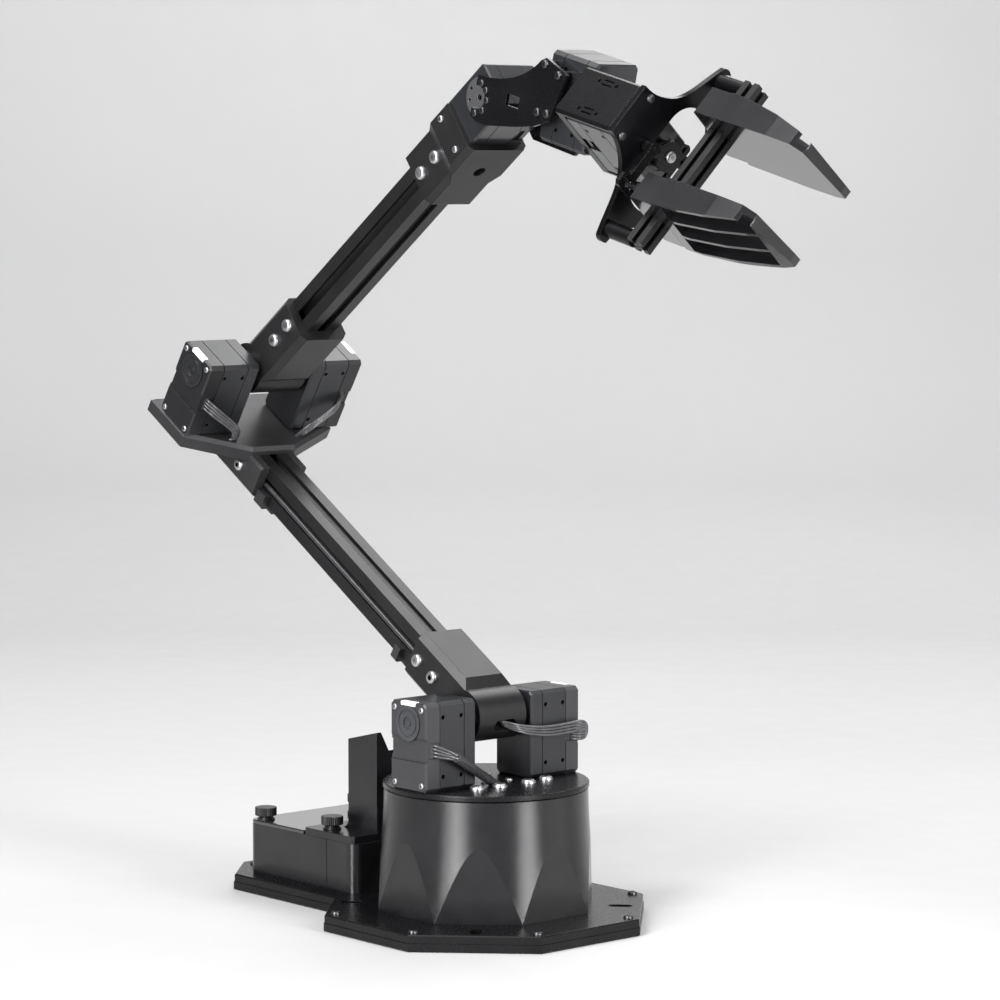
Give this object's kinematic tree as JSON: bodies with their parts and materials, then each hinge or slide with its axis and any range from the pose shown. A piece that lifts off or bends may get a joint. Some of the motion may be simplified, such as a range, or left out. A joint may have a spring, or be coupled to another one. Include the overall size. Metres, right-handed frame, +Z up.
{
  "type": "robot arm",
  "caption": "Tabletop robot arm on a turntable base, with slotted-bar links, servo joints and a two-finger sliding gripper, leaning back over its electronics box.",
  "frame": {"origin": "on the underside of the base plate, on the waist axis", "axes": "+Z up along the waist axis, +X towards the front, which the gripper points at, -X towards the electronics box"},
  "size_m": [0.4627, 0.165, 0.4559],
  "materials": {
    "servo_plastic": "satin moulded",
    "bright_steel": "polished",
    "cable_sheath": "glossy",
    "printed_plastic": "fine printed layers",
    "black_profile": "black anodised",
    "black_anodised": "black anodised, satin",
    "gloss_lid": "glossy",
    "circuit_board": "coated board",
    "socket_black": "plain",
    "finger_plastic": "satin",
    "black_knobs": "knurled"
  },
  "bodies": {
    "base": {"base_plate_lower": "black_anodised", "base_plate_upper": "black_anodised", "plate_screws": "bright_steel", "base_drum": "printed_plastic", "waist_servo_case": "servo_plastic", "electronics_box": "printed_plastic", "box_lid": "gloss_lid", "box_sockets": "socket_black", "driver_board": "circuit_board", "thumb_screws": "black_knobs", "rest_post": "printed_plastic"},
    "turntable": {"waist_horn": "bright_steel", "turntable_disc": "black_anodised", "disc_screws": "bright_steel", "shoulder_servo_near_case": "servo_plastic", "shoulder_servo_far_case": "servo_plastic", "shoulder_servo_caps": "servo_plastic", "shoulder_servo_screws": "bright_steel", "shoulder_cable": "cable_sheath", "shoulder_bridge_cable": "cable_sheath"},
    "upper_arm": {"shoulder_bracket": "black_anodised", "shoulder_horns": "bright_steel", "upper_arm_screws": "bright_steel", "upper_arm_bar": "black_profile", "elbow_plate": "black_anodised", "elbow_servo_near_case": "servo_plastic", "elbow_servo_far_case": "servo_plastic", "elbow_servo_caps": "servo_plastic", "elbow_servo_screws": "bright_steel", "cable_clips": "printed_plastic", "elbow_cables": "cable_sheath", "arm_cable": "cable_sheath"},
    "forearm": {"elbow_bracket": "black_anodised", "elbow_horns": "bright_steel", "forearm_bar": "black_profile", "wrist_bracket": "black_anodised", "forearm_screws": "bright_steel", "wrist_servo_case": "servo_plastic"},
    "wrist": {"wrist_horns": "bright_steel", "wrist_plate_near": "black_anodised", "wrist_plate_far": "black_anodised", "wrist_screws": "bright_steel", "wrist_standoffs": "black_anodised", "roll_servo_case": "servo_plastic"},
    "gripper": {"roll_horn": "bright_steel", "gripper_frame": "black_anodised", "gripper_servo_case": "servo_plastic", "wing_plate": "black_anodised", "wing_screws": "bright_steel", "rail_standoffs": "black_anodised", "finger_rail": "black_profile"},
    "crank_arm": {"crank": "black_anodised", "crank_screw": "bright_steel"},
    "link_upper": {"finger_link_upper": "black_anodised"},
    "link_lower": {"finger_link_lower": "black_anodised"},
    "finger_upper_body": {"finger_carriage_upper": "finger_plastic", "finger_upper": "finger_plastic"},
    "finger_lower_body": {"finger_carriage_lower": "finger_plastic", "finger_lower": "finger_plastic"}
  },
  "joints": [
    {"name": "waist_turn", "type": "hinge", "parent": "base", "child": "turntable", "pos_m": [0, 0, 0.0723], "axis": [0, 0, 1], "range_deg": [-180, 180]},
    {"name": "shoulder_pitch", "type": "hinge", "parent": "turntable", "child": "upper_arm", "pos_m": [0, 0, 0.11065], "axis": [0, 1, 0], "range_deg": [-38, 145], "deforming": ["shoulder_bridge_cable"]},
    {"name": "elbow_pitch", "type": "hinge", "parent": "upper_arm", "child": "forearm", "pos_m": [-0.18534, 0, 0.28564], "axis": [0, -1, 0], "range_deg": [-50, 130]},
    {"name": "wrist_pitch", "type": "hinge", "parent": "forearm", "child": "wrist", "pos_m": [0.01683, 0, 0.4327], "axis": [0, 1, 0], "range_deg": [-145, 37]},
    {"name": "wrist_roll", "type": "hinge", "parent": "wrist", "child": "gripper", "pos_m": [0.09439, 0, 0.41307], "axis": [0.9694, 0, -0.2453], "range_deg": [-180, 127]},
    {"name": "crank_turn", "type": "hinge", "parent": "gripper", "child": "crank_arm", "pos_m": [0.13317, 0, 0.40326], "axis": [0.9694, 0, -0.2453], "range_deg": [-72, 34]},
    {"name": "link_upper_turn", "type": "hinge", "parent": "crank_arm", "child": "link_upper", "pos_m": [0.13886, 0.01433, 0.39724], "axis": [0.9694, 0, -0.2453], "range_deg": [-34, 72]},
    {"name": "link_lower_turn", "type": "hinge", "parent": "crank_arm", "child": "link_lower", "pos_m": [0.14104, -0.01433, 0.40584], "axis": [0.9694, 0, -0.2453], "range_deg": [-34, 72]},
    {"name": "finger_upper_slide", "type": "slide", "parent": "gripper", "child": "finger_upper_body", "axis": [0.1941, 0.6115, 0.767], "range_m": [-0.01696, 0.008]},
    {"name": "finger_lower_slide", "type": "slide", "parent": "gripper", "child": "finger_lower_body", "axis": [-0.1941, -0.6115, -0.767], "range_m": [-0.017, 0.0081]}
  ],
  "couplings": [
    {"joint": "crank_turn", "follows": "finger_upper_slide", "rad_per_m": 74.074},
    {"joint": "link_upper_turn", "follows": "finger_upper_slide", "rad_per_m": -74.074},
    {"joint": "link_lower_turn", "follows": "finger_upper_slide", "rad_per_m": -74.074},
    {"joint": "finger_lower_slide", "follows": "finger_upper_slide", "ratio": 1}
  ]
}
